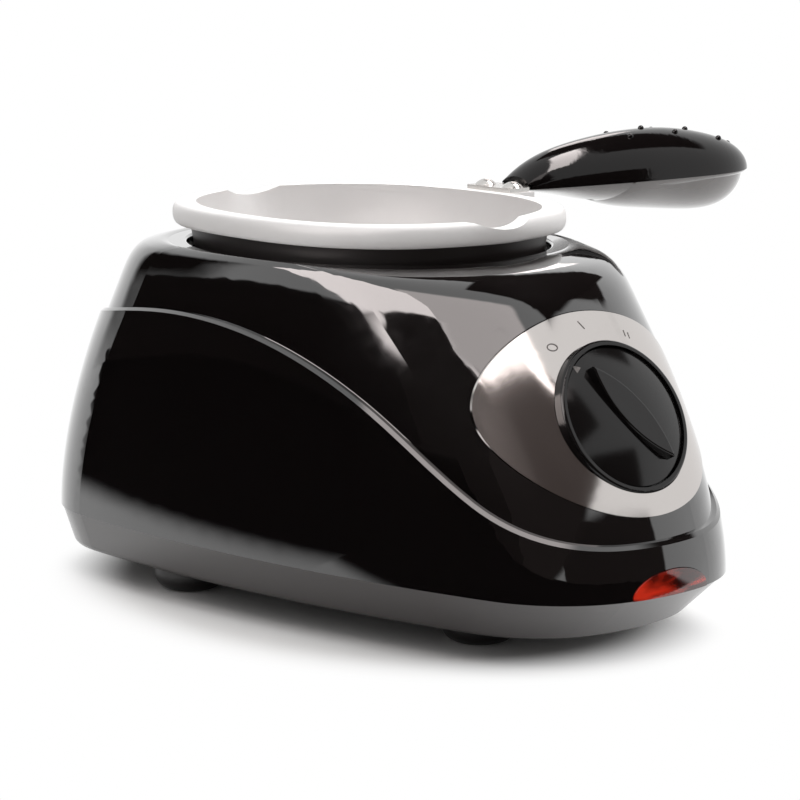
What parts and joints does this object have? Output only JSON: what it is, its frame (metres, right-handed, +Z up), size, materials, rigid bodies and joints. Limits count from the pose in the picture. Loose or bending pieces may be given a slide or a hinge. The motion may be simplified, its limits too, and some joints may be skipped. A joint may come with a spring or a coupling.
{
  "type": "wax warmer pot",
  "caption": "Electric wax warmer: teardrop housing with a heated well, a lift-out oval pot with a side handle, a rotary heat control on the nose and an indicator lamp.",
  "frame": {"origin": "middle of the footprint of the whole object, on the surface that it stands on", "axes": "+X along the pot's handle, -Y towards the nose with the control, +Z up"},
  "size_m": [0.2106, 0.212, 0.1216],
  "materials": {
    "black_gloss": "gloss black",
    "grey_satin": "satin dark grey",
    "rubber": "matte",
    "silver_plate": "satin silver",
    "red_lens": "translucent red",
    "pot_coating": "pale satin coating",
    "steel": "bright",
    "aluminium": "satin",
    "mica": "matte",
    "switch_plastic": "satin",
    "brass": "bright",
    "lamp_glass": "clear"
  },
  "bodies": {
    "base": {"base_screws": "steel", "base_tray": "grey_satin", "cord_gland": "rubber", "dial_plate": "silver_plate", "heat_shield": "steel", "heater_clamp": "aluminium", "heater_nuts": "steel", "heater_studs": "steel", "heating_well": "aluminium", "housing": "black_gloss", "indicator_lens": "red_lens", "knob_collar": "black_gloss", "lamp_holder": "switch_plastic", "mica_heater": "mica", "neon_lamp": "lamp_glass", "rubber_feet": "rubber", "shield_spacers": "aluminium", "switch_body": "switch_plastic", "switch_cover": "switch_plastic", "switch_nut": "steel", "switch_terminals": "brass", "terminal_block": "switch_plastic", "terminal_screws": "brass", "thermal_cutout": "steel", "thermal_fuse": "steel", "well_gasket": "rubber", "well_screws": "steel"},
    "knob": {"control_knob": "black_gloss", "switch_shaft": "steel", "switch_rotor": "switch_plastic"},
    "pot": {"melting_pot": "pot_coating", "handle_bracket": "steel", "bracket_rivets": "steel", "handle_upper": "black_gloss", "handle_lower": "black_gloss", "handle_screws": "steel"}
  },
  "joints": [
    {"name": "knob_turn", "type": "hinge", "parent": "base", "child": "knob", "pos_m": [-0.04573, -0.08725, 0.0606], "axis": [0, 0.8829, -0.4695], "range_deg": [0, 66]},
    {"name": "pot_lift", "type": "slide", "parent": "base", "child": "pot", "axis": [0, 0, 1], "range_m": [0, 0.1]}
  ]
}
